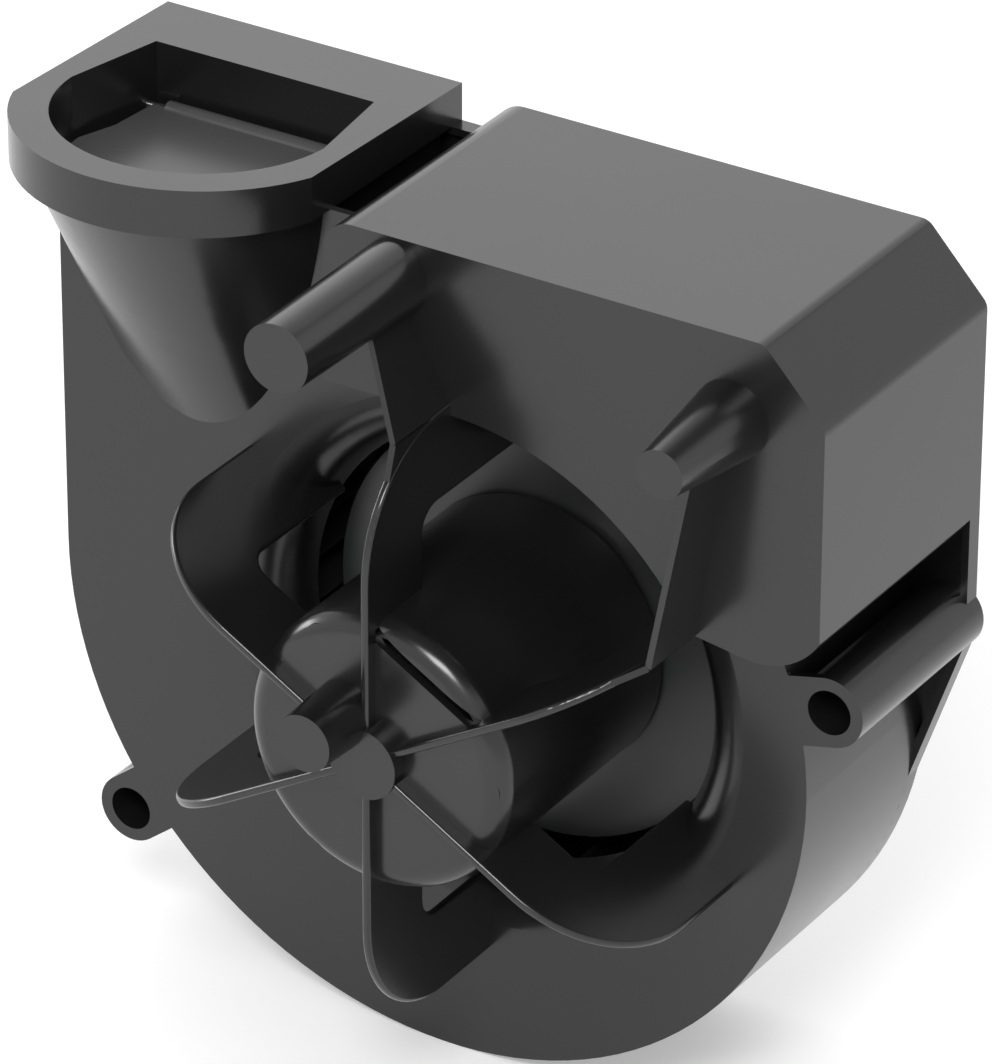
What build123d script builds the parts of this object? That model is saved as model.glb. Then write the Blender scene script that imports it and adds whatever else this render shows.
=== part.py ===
"""Radial fan insert for a flush-mounted exhaust fan, in millimetres.

+X points right and +Z up as seen from the inlet side, and +Y points back through the casing.
The origin is midway between the two fixing bosses, on the front face of the front plate.
The scroll widens clockwise seen from the inlet and blows upwards through a D-shaped outlet.
"""
from build123d import *
import os
from math import asin, cos, degrees, hypot, radians, sin, sqrt, tan

os.makedirs("parts", exist_ok=True)

# Casing
wall = 2.0
touch = 0.01
casing_depth = 57.3
cover_depth = 4.6
cover_skin = 2.2
joint_y = casing_depth - cover_depth
cover_skin_y = casing_depth - cover_skin

# Fixing bosses, one low on the left and one high on the right
boss_x = 99.6
boss_z = 45.2
boss_radius = 9.0
boss_hole_radius = 5.75

# Bellmouth, and the impeller that runs behind it
fan_x = 5.6
fan_z = 28.4
bell_radius = 71.3
bell_lip = 13.8
bell_wall = 2.0
throat_radius = bell_radius - bell_lip
impeller_radius = bell_radius + 7.1
impeller_gap = 0.84
ring_overhang = 0.8
inlet_gap = 3.3
blade_set_back = 1.2
cone_step = 8.0
ring_inner_radius = throat_radius + bell_wall + inlet_gap
ring_outer_radius = impeller_radius + ring_overhang
blade_inner_radius = ring_inner_radius + blade_set_back
cone_radius = blade_inner_radius - cone_step

# Scroll round the impeller, three arcs of falling radius from the left, round the bottom, to the top
scroll_centre_x = fan_x - 12.7
scroll_centre_z = fan_z - 0.8
scroll_top_x = fan_x - 2.9
scroll_right_z = fan_z - 9.0
scroll_set_off = hypot(fan_x - scroll_top_x, fan_z - scroll_right_z)
scroll_top_radius = ring_outer_radius + impeller_gap + scroll_set_off + wall
scroll_right_radius = scroll_top_radius + scroll_top_x - scroll_centre_x
scroll_left_radius = scroll_right_radius + scroll_centre_z - scroll_right_z
channel_width = 71.1
tongue_radius = 3.0
scroll_left_x = scroll_centre_x - scroll_left_radius
channel_right_x = scroll_left_x + wall + channel_width
tongue_z = scroll_right_z + sqrt((scroll_top_radius - wall) ** 2 - (channel_right_x - scroll_top_x) ** 2)

# Outlet flange, a D with its round side to the front and a top that rises to the front
outlet_x = scroll_left_x + 35.7
flange_low_z = 138.4
flange_back_z = 148.3
flange_tilt = 1.5
flange_half_width = 42.75
flange_arc_y = 9.25
flange_arc_radius = 46.0
flange_corner_y = flange_arc_y - sqrt(flange_arc_radius**2 - flange_half_width**2)

# Outlet mouth with the flap's seat inside it
mouth_radius = 36.25
mouth_side_y = 7.2
mouth_back_y = 36.0
mouth_back_half_width = 31.5
mouth_side_half_width = sqrt(mouth_radius**2 - (flange_arc_y - mouth_side_y) ** 2)
flap_top_z = 133.9
flap_thickness = 1.8
flap_side_gap = 1.5
seat_gap = 0.3
seat_width = 3.5
seat_thickness = 2.8
seat_z = flap_top_z - flap_thickness - seat_gap
duct_top_z = seat_z - seat_thickness

# Funnel that carries the round front of the outlet down into the front plate
funnel_top_radius = 42.0
funnel_low_radius = 36.2
funnel_low_x = outlet_x + 3.5
funnel_low_y = 36.2
funnel_low_z = 71.2
funnel_wall = 2.4

# Electronics box
box_face_y = -17.5
box_left_x = -28.6
box_right_x = 106.4
box_arc_radius = bell_radius + 4.7
box_arc_end = 30.0
box_height = 42.5
box_left_low_z = fan_z + box_arc_radius - 0.5
box_top_z = box_left_low_z + box_height
box_corner_radius = 8.0
box_chamfer_x = 90.1
box_chamfer_z = box_top_z - 17.5
box_lobe_z = 73.9
box_lobe_x = 88.0
box_lobe_low_z = 64.0
box_lobe_radius = 20.0
box_edge_round = 4.0

# Impeller
blade_count = 36
blade_thickness = 1.0
blade_lean = 8.0
blade_bow = 2.6
impeller_disc_y = 22.5
impeller_disc = 2.2
impeller_front_y = 15.4
impeller_back_y = 49.2
ring_thickness = 2.0

# Motor cup, fins and hub
cup_radius = 36.0
cup_wall = 2.3
cup_face_y = -50.0
cup_rim_y = 21.0
cup_round = 5.5
fin_count = 6
fin_angle = 30.0
fin_radius = bell_radius + 7.7
fin_front_y = -53.4
fin_corner_radius = 32.4
fin_thickness = 2.2
fin_edge_round = 0.9
fin_back_y = 12.0
window_step = 1.6
window_radius = throat_radius - window_step
window_front_y = -29.6
window_corner_radius = 6.5
hub_radius = 9.2
hub_front_y = -54.4
slot_width = 3.0
slot_inner = 27.3
slot_length = 33.5
slot_angle = 60.0
slot_overcut = 0.5
slot_depth = cup_wall + slot_overcut

# Posts on the box and on the cup, each with its foot, tip and front
left_post = (-9.0, box_top_z - 10.0, 9.3, 8.7, -66.5)
right_post = (82.0, box_top_z - 21.2, 10.0, 6.1, -49.0)
cup_post = (fan_x - 7.4, fan_z + 10.0, 8.2, 7.4, -68.0)

# Gusset plates, each from a fin out to its kink and then up to a post, with the fronts' depths
gusset_thickness = 1.6
gusset_start_radius = fin_radius - 10.0
gusset_kink_radius = fin_radius - 0.6
left_gusset = (90.0, -43.6, -40.6, -31.3)
right_gusset = (30.0, -43.6, -38.5, -33.1)

# Motor
motor_radius = 26.5
shield_wall = 1.6
core_front_y = -30.0
core_length = 30.0
front_shield_y = -44.7
rear_shield_y = 14.0
stator_bore = 17.0
tooth_count = 6
tooth_width = 7.0
tooth_tip = 1.6
stator_yoke = 3.5
coil_overhang = 6.0
coil_gap = 0.3
air_gap = 0.4
shaft_radius = 2.5
shaft_front_y = -43.5
shaft_back_y = 39.5
shaft_bevel = 0.4
press_gap = 0.02
running_gap = 0.04
bearing_radius = 6.0
bearing_length = 7.0
bearing_boss_radius = 8.5
cushion_inner_radius = 11.0
cushion_outer_radius = 20.0
motor_post_radius = 3.7
motor_post_circle = 30.7
motor_post_count = 3
motor_post_angle = 0.0
motor_bush_height = 2.0
motor_bush_radius = 2.9
ear_radius = 3.4
ear_thickness = 2.0
motor_seat_y = rear_shield_y - ear_thickness - motor_bush_height
cup_gap = 0.3
vent_circle = 15.5
vent_count = 4
vent_angle = 45.0
vent_radius = 3.0
tooth_opening = 3.0
coil_build = 3.4
coil_round = 3.0
rotor_ring = 4.0
rotor_ring_inner = 9.3
rotor_ring_outer = 13.3
bearing_inset = 0.5
hub_boss_radius = 8.0
hub_boss_back_y = 36.0
clip_gap = 0.1
clip_thickness = 1.2
clip_radius = 6.0
clip_slot = 0.7

# Screws
screw_radius = 1.5
screw_head_radius = 2.9
screw_head_height = 2.0
screw_pilot_gap = 0.05
screw_length = 12.0
screw_clearance = 0.2
cover_post_radius = 4.0
cover_post_depth = 22.0
cover_screw_z = box_top_z - 5.8
cover_screws_at = [(-22.8, cover_screw_z), (38.0, cover_screw_z), (88.5, cover_screw_z), (101.0, 76.5)]
cover_screw_length = 14.0

# Control board and what stands on it, each part by its place and size
board_y = -8.0
board_thickness = 1.6
board_left_x = 12.0
board_right_x = 96.0
board_top_z = box_top_z - 6.9
board_low_z = board_top_z - 26.0
board_corner = 9.0
board_post_radius = 3.2
board_screw_low_z = board_low_z + 5.0
board_screw_top_z = board_top_z - 5.0
board_screws_at = [(17.0, board_screw_low_z), (17.0, board_screw_top_z),
                   (89.0, board_screw_low_z), (80.0, board_screw_top_z)]
board_screw_length = 7.0
board_back_y = board_y + board_thickness
board_middle_z = (board_low_z + board_top_z) / 2
relay_place = (30.0, board_middle_z)
relay_size = (15.0, 19.0, 15.5)
relay_corner = 0.5
capacitor_place = (43.0, board_middle_z)
capacitor_size = (8.0, 22.0, 17.0)
capacitor_corner = 2.0
choke_place = (82.5, board_middle_z - 2.0)
choke_radius = 5.0
choke_height = 12.0
terminal_height = 10.0
terminal_corner = 0.4

# Mains plug in the cover
plug_x = 62.0
plug_z = board_middle_z - 2.5
plug_width = 30.0
plug_height = 16.0
plug_depth = 15.0
plug_flange = 2.5
plug_recess = 10.0
plug_wall = 1.8
contact_pitch = 8.5
contact_width = 5.0
contact_thickness = 0.8
contact_root = 4.0
contact_set_back = 1.5
lead_radius = 1.4
lead_grip = 3.0
terminal_depth = 12.0
plug_gap = 0.15
plug_corner = 2.0

# Flap and its pin
flap_pin_radius = 1.0
flap_pin_inset = 3.0
flap_knuckle_radius = 2.4
flap_pin_grip = 3.0
flap_waist = 15.5
flap_waist_clearance = 1.2
knuckle_half_length = 26.0
pin_z = flap_top_z - flap_thickness / 2
pin_y = mouth_back_y - flap_pin_inset
flap_pin_half_length = mouth_back_half_width + flap_pin_grip

# Web of the cover that fills the corner between the box and the scroll
cover_web_z = 40.6
cover_web_low_x = 89.8
cover_web_low_z = -7.6


def front_view(depth):
    """Sketch plane at a depth: x is X, y is Z, and a negative extrude goes back."""
    return Plane.XZ.offset(-depth)


def fan_view(depth):
    """The same plane with its origin on the fan axis."""
    return Plane(origin=(fan_x, depth, fan_z), x_dir=(1, 0, 0), z_dir=(0, -1, 0))


def turning_plane(x, z, angle=0.0):
    """Plane through an axis along Y: x is the radius at the angle, y is the depth."""
    a = radians(angle)
    return Plane(origin=(x, 0, z), x_dir=(cos(a), 0, sin(a)), z_dir=(-sin(a), 0, cos(a)))


def y_axis(x, z):
    """Axis through a point, pointing back."""
    return Axis((x, 0, z), (0, 1, 0))


def run_back(sketch, start, end, mode=Mode.ADD):
    """Extrude a front-plane sketch from one depth back to another."""
    moved = sketch.sketch.moved(Location((0, start, 0)))
    extrude(moved, amount=end - start, dir=(0, 1, 0), mode=mode)


def post(x, z, foot_radius, tip_radius, foot_y, tip_y):
    """A round post from its foot forward to its tip."""
    with BuildSketch(turning_plane(x, z)) as side:
        with BuildLine():
            Polyline((0, foot_y), (foot_radius, foot_y), (tip_radius, tip_y), (0, tip_y), close=True)
        make_face()
    revolve(side.sketch, axis=y_axis(x, z))


def plate(foot, top, foot_y, top_y, back_y):
    """A plate that stands up from back_y between two points, with a sloping front edge."""
    length = hypot(top[0] - foot[0], top[1] - foot[1])
    angle = degrees(asin((top[1] - foot[1]) / length))
    angle = 180 - angle if top[0] < foot[0] else angle
    with BuildSketch(turning_plane(foot[0], foot[1], angle)) as side:
        with BuildLine():
            Polyline((0, foot_y), (length, top_y), (length, back_y), (0, back_y), close=True)
        make_face()
    extrude(side.sketch, amount=gusset_thickness / 2, both=True)


def gusset(shape, post_at):
    """A plate that leaves a fin, bends at its kink and runs on to the middle of a post."""
    angle, start_y, kink_y, post_y = shape
    a = radians(angle)
    start = (fan_x + gusset_start_radius * cos(a), fan_z + gusset_start_radius * sin(a))
    kink = (fan_x + gusset_kink_radius * cos(a), fan_z + gusset_kink_radius * sin(a))
    plate(start, kink, start_y, kink_y, box_face_y)
    plate(kink, post_at, kink_y, post_y, box_face_y + wall / 2)


def corner(sketch, x, z):
    """The corner of a front-view sketch that is nearest to a point."""
    return sketch.vertices().sort_by_distance((x, z, 0))[0]


def write(builder, label):
    """Label a finished piece and write it."""
    builder.part.label = label
    export_step(builder.part, f"parts/{label}.step")


def scroll_lines(top, inset):
    """The scroll's outline moved inwards by inset, with its outlet channel up to top."""
    left = scroll_left_x + inset
    right = channel_right_x + wall - inset
    top_radius = scroll_top_radius - inset
    end_z = scroll_right_z + sqrt(top_radius**2 - (right - scroll_top_x) ** 2)
    end_angle = degrees(asin((end_z - scroll_right_z) / top_radius))
    Line((left, top), (left, scroll_centre_z))
    CenterArc((scroll_centre_x, scroll_centre_z), scroll_left_radius - inset, 180, 90)
    CenterArc((scroll_centre_x, scroll_right_z), scroll_right_radius - inset, 270, 90)
    CenterArc((scroll_top_x, scroll_right_z), top_radius, 0, 180 - end_angle)
    Line((right, end_z), (right, top))
    Line((right, top), (left, top))


def box_lines():
    """The electronics box seen from the front, before its inner edge is cut round the fan axis."""
    end = radians(box_arc_end)
    arc_end = (fan_x + box_arc_radius * cos(end), fan_z + box_arc_radius * sin(end))
    Polyline(arc_end, (fan_x, fan_z), (fan_x, box_left_low_z), (box_left_x, box_left_low_z),
             (box_left_x, box_top_z), (box_chamfer_x, box_top_z), (box_right_x, box_chamfer_z),
             (box_right_x, box_lobe_z))
    RadiusArc((box_right_x, box_lobe_z), (box_lobe_x, box_lobe_low_z), box_lobe_radius)
    Line((box_lobe_x, box_lobe_low_z), arc_end)


def mouth_lines(inset, back_y):
    """The D of the outlet mouth moved inwards by inset, with its straight side at back_y."""
    slope = (mouth_side_half_width - mouth_back_half_width) / (mouth_back_y - mouth_side_y)
    side = sqrt((mouth_radius - inset) ** 2 - (flange_arc_y - mouth_side_y) ** 2)
    back = side - slope * (back_y - mouth_side_y)
    Line((outlet_x - back, back_y), (outlet_x - side, mouth_side_y))
    ThreePointArc((outlet_x - side, mouth_side_y), (outlet_x, flange_arc_y - mouth_radius + inset),
                  (outlet_x + side, mouth_side_y))
    Line((outlet_x + side, mouth_side_y), (outlet_x + back, back_y))
    Line((outlet_x + back, back_y), (outlet_x - back, back_y))


def boss_strap(side):
    """A boss and the strap that runs from it towards the middle of the scroll."""
    x = side * boss_x
    z = side * boss_z
    target_z = scroll_right_z if side > 0 else scroll_centre_z
    reach = hypot(scroll_centre_x - x, target_z - z) / 2
    angle = degrees(asin((target_z - z) / (2 * reach)))
    turn = 180 - angle if side > 0 else angle
    with Locations((x, z)):
        Circle(boss_radius)
    with Locations(Location((x, z, 0), (0, 0, turn))):
        Rectangle(reach, 2 * boss_radius, align=(Align.MIN, Align.CENTER))


with BuildSketch(front_view(0)) as scroll_shape:
    with BuildLine():
        scroll_lines(duct_top_z, 0)
    make_face()

with BuildSketch(front_view(0)) as scroll_room:
    with BuildLine():
        scroll_lines(duct_top_z, wall)
    make_face()
    fillet(corner(scroll_room, channel_right_x, tongue_z), tongue_radius)

with BuildSketch(front_view(0)) as box_shape:
    with BuildLine():
        box_lines()
    make_face()
    with Locations((fan_x, fan_z)):
        Circle(box_arc_radius, mode=Mode.SUBTRACT)
    fillet(corner(box_shape, box_left_x, box_top_z), box_corner_radius)
    fillet(corner(box_shape, box_chamfer_x, box_top_z), box_edge_round)
    fillet(corner(box_shape, box_right_x, box_chamfer_z), box_edge_round)

with BuildSketch(front_view(0)) as box_room:
    add(box_shape.sketch_local)
    offset(amount=-wall)

with BuildSketch(front_view(0)) as box_back_room:
    add(box_room.sketch_local)
    add(scroll_shape.sketch_local, mode=Mode.SUBTRACT)

with BuildSketch(front_view(0)) as plate_shape:
    add(scroll_shape.sketch_local)
    with BuildLine():
        Polyline(
            (scroll_left_x, scroll_centre_z),
            (scroll_left_x, flange_low_z),
            (box_left_x + box_corner_radius, flange_low_z),
            (box_left_x + box_corner_radius, scroll_centre_z),
            close=True,
        )
    make_face()
    boss_strap(-1)
    boss_strap(1)

with BuildSketch(front_view(0)) as outlet_column:
    with Locations((scroll_left_x, duct_top_z)):
        Rectangle(channel_width + 2 * wall, flange_low_z - duct_top_z, align=(Align.MIN, Align.MIN))

with BuildSketch(front_view(0)) as cover_shape:
    add(plate_shape.sketch_local)
    add(box_shape.sketch_local)
    with BuildLine():
        Polyline(
            (box_right_x, box_lobe_z),
            (box_right_x, cover_web_z),
            (cover_web_low_x, cover_web_low_z),
            (scroll_centre_x, scroll_centre_z),
            close=True,
        )
    make_face()

with BuildSketch(front_view(0)) as boss_holes:
    with Locations((-boss_x, -boss_z), (boss_x, boss_z)):
        Circle(boss_hole_radius)

with BuildSketch(front_view(0)) as boss_tubes:
    with Locations((-boss_x, -boss_z), (boss_x, boss_z)):
        Circle(boss_radius)

with BuildSketch(front_view(0)) as cover_posts:
    with Locations(*cover_screws_at):
        Circle(cover_post_radius)

with BuildSketch(front_view(0)) as cover_pilots:
    with Locations(*cover_screws_at):
        Circle(screw_radius + screw_pilot_gap)


# One fin, lying along +X from an axis at the origin, with a window between the cup and its leg
with BuildPart() as fin:
    lip_radius = bell_lip - bell_wall / 2
    lip_turn = degrees(asin((bell_lip - fin_back_y) / lip_radius))
    inner_face_y = cup_face_y + cup_wall / 2
    inner_radius = cup_radius - cup_wall / 2
    corner_x = fin_radius - fin_corner_radius
    corner_y = fin_front_y + fin_corner_radius
    window_corner_x = window_radius - window_corner_radius
    window_corner_y = window_front_y + window_corner_radius
    with BuildSketch(Plane.XY):
        with BuildLine():
            Line((0, fin_front_y), (corner_x, fin_front_y))
            CenterArc((corner_x, corner_y), fin_corner_radius, -90, 90)
            Line((fin_radius, corner_y), (fin_radius, bell_wall / 2))
            Line((fin_radius, bell_wall / 2), (bell_radius, bell_wall / 2))
            lip = CenterArc((bell_radius, bell_lip), lip_radius, -90, lip_turn - 90)
            Polyline(lip @ 1, (window_radius, fin_back_y), (window_radius, window_corner_y))
            CenterArc((window_corner_x, window_corner_y), window_corner_radius, 0, -90)
            Polyline((window_corner_x, window_front_y), (inner_radius, window_front_y),
                     (inner_radius, cup_face_y + cup_round), (cup_radius - cup_round, inner_face_y),
                     (0, inner_face_y), (0, fin_front_y))
        make_face()
    extrude(amount=fin_thickness / 2, both=True)
    for depth in (fin_front_y, window_front_y):
        along = fin.edges().filter_by(Axis.X).filter_by_position(Axis.Y, depth - touch, depth + touch)
        fillet(along, fin_edge_round)


# The outlet's funnel as far back as the front plate, and the room inside it
with BuildPart() as funnel:
    with BuildSketch(Plane.XY.offset(funnel_low_z)):
        with Locations((funnel_low_x, funnel_low_y)):
            Circle(funnel_low_radius)
    with BuildSketch(Plane.XY.offset(flange_low_z)):
        with Locations((outlet_x, flange_arc_y)):
            Circle(funnel_top_radius)
    loft()
    split(bisect_by=front_view(wall), keep=Keep.TOP)

with BuildPart() as funnel_room:
    share = (flange_low_z - duct_top_z) / (flange_low_z - funnel_low_z)
    with BuildSketch(Plane.XY.offset(funnel_low_z)):
        with Locations((funnel_low_x, funnel_low_y)):
            Circle(funnel_low_radius - funnel_wall)
    with BuildSketch(Plane.XY.offset(duct_top_z)):
        with Locations((outlet_x + share * (funnel_low_x - outlet_x),
                        flange_arc_y + share * (funnel_low_y - flange_arc_y))):
            Circle(funnel_top_radius + share * (funnel_low_radius - funnel_top_radius) - funnel_wall)
    loft()


with BuildPart() as main_housing:
    run_back(scroll_shape, 0, joint_y)
    run_back(plate_shape, 0, wall)
    run_back(box_shape, box_face_y, joint_y)
    run_back(outlet_column, 0, joint_y)

    # Outlet flange and the funnel below it
    with BuildSketch(Plane.XY.offset(flange_low_z)):
        with BuildLine():
            left = outlet_x - flange_half_width
            right = outlet_x + flange_half_width
            Line((left, casing_depth), (left, flange_corner_y))
            ThreePointArc((left, flange_corner_y), (outlet_x, flange_arc_y - flange_arc_radius),
                          (right, flange_corner_y))
            Line((right, flange_corner_y), (right, casing_depth))
            Line((right, casing_depth), (left, casing_depth))
        make_face()
    flange_rise = (casing_depth - flange_arc_y + flange_arc_radius) * tan(radians(flange_tilt))
    extrude(amount=flange_back_z - flange_low_z + flange_rise)
    add(funnel.part)
    tilt = radians(flange_tilt)
    split(bisect_by=Plane(origin=(outlet_x, casing_depth, flange_back_z), x_dir=(1, 0, 0),
                          z_dir=(0, sin(tilt), cos(tilt))), keep=Keep.BOTTOM)
    run_back(boss_tubes, 0, joint_y)

    # Air room: the scroll, the inside of the funnel, the flap's seat and the mouth above it
    run_back(scroll_room, wall, joint_y, Mode.SUBTRACT)
    add(funnel_room.part, mode=Mode.SUBTRACT)
    with BuildSketch(Plane.XY.offset(duct_top_z)):
        with BuildLine():
            mouth_lines(seat_width, mouth_back_y)
        make_face()
    extrude(amount=seat_thickness, mode=Mode.SUBTRACT)
    with BuildSketch(Plane.XY.offset(seat_z)):
        with BuildLine():
            mouth_lines(0, mouth_back_y)
        make_face()
    extrude(amount=flange_back_z - seat_z + flange_rise, mode=Mode.SUBTRACT)

    # Inlet with its bellmouth
    with BuildSketch(fan_view(0)):
        Circle(bell_radius)
    extrude(amount=-wall, mode=Mode.SUBTRACT)
    with BuildSketch(turning_plane(fan_x, fan_z)):
        with BuildLine():
            Line((bell_radius + wall, 0), (bell_radius, 0))
            CenterArc((bell_radius, bell_lip), bell_lip, -90, -90)
            Line((throat_radius, bell_lip), (throat_radius + bell_wall, bell_lip))
            CenterArc((bell_radius, bell_lip), bell_lip - bell_wall, 180, 90)
            Line((bell_radius, bell_wall), (bell_radius + wall, bell_wall))
            Line((bell_radius + wall, bell_wall), (bell_radius + wall, 0))
        make_face()
    revolve(axis=y_axis(fan_x, fan_z))

    # Motor cup on six fins
    with BuildSketch(turning_plane(fan_x, fan_z)):
        with BuildLine():
            Polyline((cup_radius, cup_face_y + cup_round), (cup_radius, cup_rim_y),
                     (cup_radius - cup_wall, cup_rim_y), (cup_radius - cup_wall, cup_face_y + cup_round),
                     (cup_radius - cup_round, cup_face_y + cup_wall),
                     (0, cup_face_y + cup_wall), (0, cup_face_y), (cup_radius - cup_round, cup_face_y))
            CenterArc((cup_radius - cup_round, cup_face_y + cup_round), cup_round, -90, 90)
        make_face()
    revolve(axis=y_axis(fan_x, fan_z))
    for i in range(fin_count):
        angle = fin_angle + i * 360 / fin_count
        add(fin.part.moved(Location((fan_x, 0, fan_z), (0, -angle, 0))))
    post(fan_x, fan_z, hub_radius, hub_radius, cup_face_y + cup_wall / 2, hub_front_y)
    x, z, foot, tip, front = cup_post
    post(x, z, foot, tip, cup_face_y + cup_wall / 2, front)
    for x, z, foot, tip, front in (left_post, right_post):
        post(x, z, foot, tip, box_face_y + wall / 2, front)
    gusset(left_gusset, left_post[:2])
    gusset(right_gusset, right_post[:2])

    # Room for the electronics, and the posts that take the screws
    run_back(box_room, box_face_y + wall, 0, Mode.SUBTRACT)
    run_back(box_back_room, 0, joint_y, Mode.SUBTRACT)
    run_back(cover_posts, joint_y - cover_post_depth, joint_y)
    run_back(cover_pilots, cover_skin_y - cover_screw_length, joint_y, Mode.SUBTRACT)
    with BuildSketch(front_view(box_face_y + wall / 2)):
        with Locations(*board_screws_at):
            Circle(board_post_radius)
    extrude(amount=box_face_y + wall / 2 - board_y)
    with BuildSketch(front_view(board_y)):
        with Locations(*board_screws_at):
            Circle(screw_radius + screw_pilot_gap)
    extrude(amount=board_screw_length - board_thickness, mode=Mode.SUBTRACT)
    with BuildSketch(fan_view(cup_face_y + cup_wall / 2)):
        with PolarLocations(motor_post_circle, motor_post_count, start_angle=motor_post_angle):
            Circle(motor_post_radius)
    extrude(amount=cup_face_y + cup_wall / 2 - motor_seat_y)
    with BuildSketch(fan_view(motor_seat_y)):
        with PolarLocations(motor_post_circle, motor_post_count, start_angle=motor_post_angle):
            Circle(screw_radius + screw_pilot_gap)
    extrude(amount=screw_length, mode=Mode.SUBTRACT)

    # Slot in the cup's face, bored bosses and the holes for the flap's pin
    with BuildSketch(fan_view(cup_face_y)):
        with Locations(Location((0, 0, 0), (0, 0, slot_angle))):
            with Locations((slot_inner, 0)):
                Rectangle(slot_width, slot_length, align=(Align.MIN, Align.CENTER))
    extrude(amount=-slot_depth, mode=Mode.SUBTRACT)
    run_back(boss_holes, 0, joint_y, Mode.SUBTRACT)
    with BuildSketch(Plane.YZ.offset(outlet_x)):
        with Locations((pin_y, pin_z)):
            Circle(flap_pin_radius + press_gap)
    extrude(amount=flap_pin_half_length, both=True, mode=Mode.SUBTRACT)
write(main_housing, "main_housing")

with BuildSketch(front_view(0)) as cover_room:
    add(cover_shape.sketch_local)
    offset(amount=-wall)
    with Locations((-boss_x, -boss_z), (boss_x, boss_z)):
        Circle(boss_radius, mode=Mode.SUBTRACT)
    with Locations(*cover_screws_at):
        Circle(cover_post_radius, mode=Mode.SUBTRACT)
    with BuildLine():
        scroll_lines(duct_top_z, 0)
    make_face(mode=Mode.SUBTRACT)
    with BuildLine():
        scroll_lines(duct_top_z, wall)
    make_face()


with BuildPart() as rear_cover:
    run_back(cover_shape, joint_y, casing_depth)
    run_back(cover_room, joint_y, cover_skin_y, Mode.SUBTRACT)
    run_back(boss_holes, joint_y, casing_depth, Mode.SUBTRACT)
    with BuildSketch(front_view(joint_y)):
        with Locations(*cover_screws_at):
            Circle(screw_radius + screw_clearance)
    extrude(amount=-cover_depth, mode=Mode.SUBTRACT)
    with BuildSketch(front_view(cover_skin_y)):
        with Locations(*cover_screws_at):
            Circle(screw_head_radius + screw_clearance)
    extrude(amount=-cover_skin, mode=Mode.SUBTRACT)
    with BuildSketch(front_view(joint_y)):
        with Locations((plug_x, plug_z)):
            RectangleRounded(plug_width + 2 * plug_gap, plug_height + 2 * plug_gap, plug_corner)
    extrude(amount=-cover_depth, mode=Mode.SUBTRACT)
write(rear_cover, "rear_cover")


def screws(places, seat, length):
    """Cylinder-head screws, all driven forward from the same seat."""
    for x, z in places:
        with BuildSketch(turning_plane(x, z)) as side:
            with BuildLine():
                Polyline((0, seat - length), (screw_radius, seat - length), (screw_radius, seat),
                         (screw_head_radius, seat), (screw_head_radius, seat + screw_head_height),
                         (0, seat + screw_head_height), close=True)
            make_face()
        revolve(side.sketch, axis=y_axis(x, z))


with BuildPart() as cover_screws:
    screws(cover_screws_at, cover_skin_y, cover_screw_length)
write(cover_screws, "cover_screws")


def round_part(points):
    """A body turned about the fan axis from its half section of radius and depth."""
    with BuildSketch(turning_plane(fan_x, fan_z)) as side:
        with BuildLine():
            Polyline(*points, close=True)
        make_face()
    revolve(side.sketch, axis=y_axis(fan_x, fan_z))


# Motor, held in the cup by its rear shield
core_back_y = core_front_y + core_length
bearing_bore = bearing_radius + press_gap
ear_y = rear_shield_y - ear_thickness

with BuildPart() as motor_front_shield:
    inner = motor_radius - shield_wall
    floor = front_shield_y + shield_wall
    boss_end = front_shield_y + bearing_length
    round_part([(bearing_bore, front_shield_y), (motor_radius, front_shield_y), (motor_radius, core_front_y),
                (inner, core_front_y), (inner, floor), (bearing_boss_radius, floor),
                (bearing_boss_radius, boss_end), (bearing_bore, boss_end)])
    with BuildSketch(fan_view(front_shield_y)):
        with PolarLocations(vent_circle, vent_count, start_angle=vent_angle):
            Circle(vent_radius)
    extrude(amount=-shield_wall, mode=Mode.SUBTRACT)
write(motor_front_shield, "motor_front_shield")

with BuildPart() as motor_rear_shield:
    floor = rear_shield_y - shield_wall
    boss_start = rear_shield_y - bearing_length
    round_part([(bearing_bore, rear_shield_y), (motor_radius, rear_shield_y), (motor_radius, core_back_y),
                (inner, core_back_y), (inner, floor), (bearing_boss_radius, floor),
                (bearing_boss_radius, boss_start), (bearing_bore, boss_start)])
    with BuildSketch(fan_view(ear_y)):
        with PolarLocations(motor_post_circle, motor_post_count, start_angle=motor_post_angle):
            SlotCenterToCenter(2 * (motor_post_circle - motor_radius), 2 * ear_radius)
        Circle(motor_radius - shield_wall, mode=Mode.SUBTRACT)
        Circle(cup_radius - cup_wall - cup_gap, mode=Mode.INTERSECT)
        with PolarLocations(motor_post_circle, motor_post_count, start_angle=motor_post_angle):
            Circle(screw_radius + screw_clearance, mode=Mode.SUBTRACT)
    extrude(amount=-ear_thickness)
    with BuildSketch(fan_view(floor)):
        with PolarLocations(vent_circle, vent_count, start_angle=vent_angle):
            Circle(vent_radius)
    extrude(amount=-shield_wall, mode=Mode.SUBTRACT)
write(motor_rear_shield, "motor_rear_shield")

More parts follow.
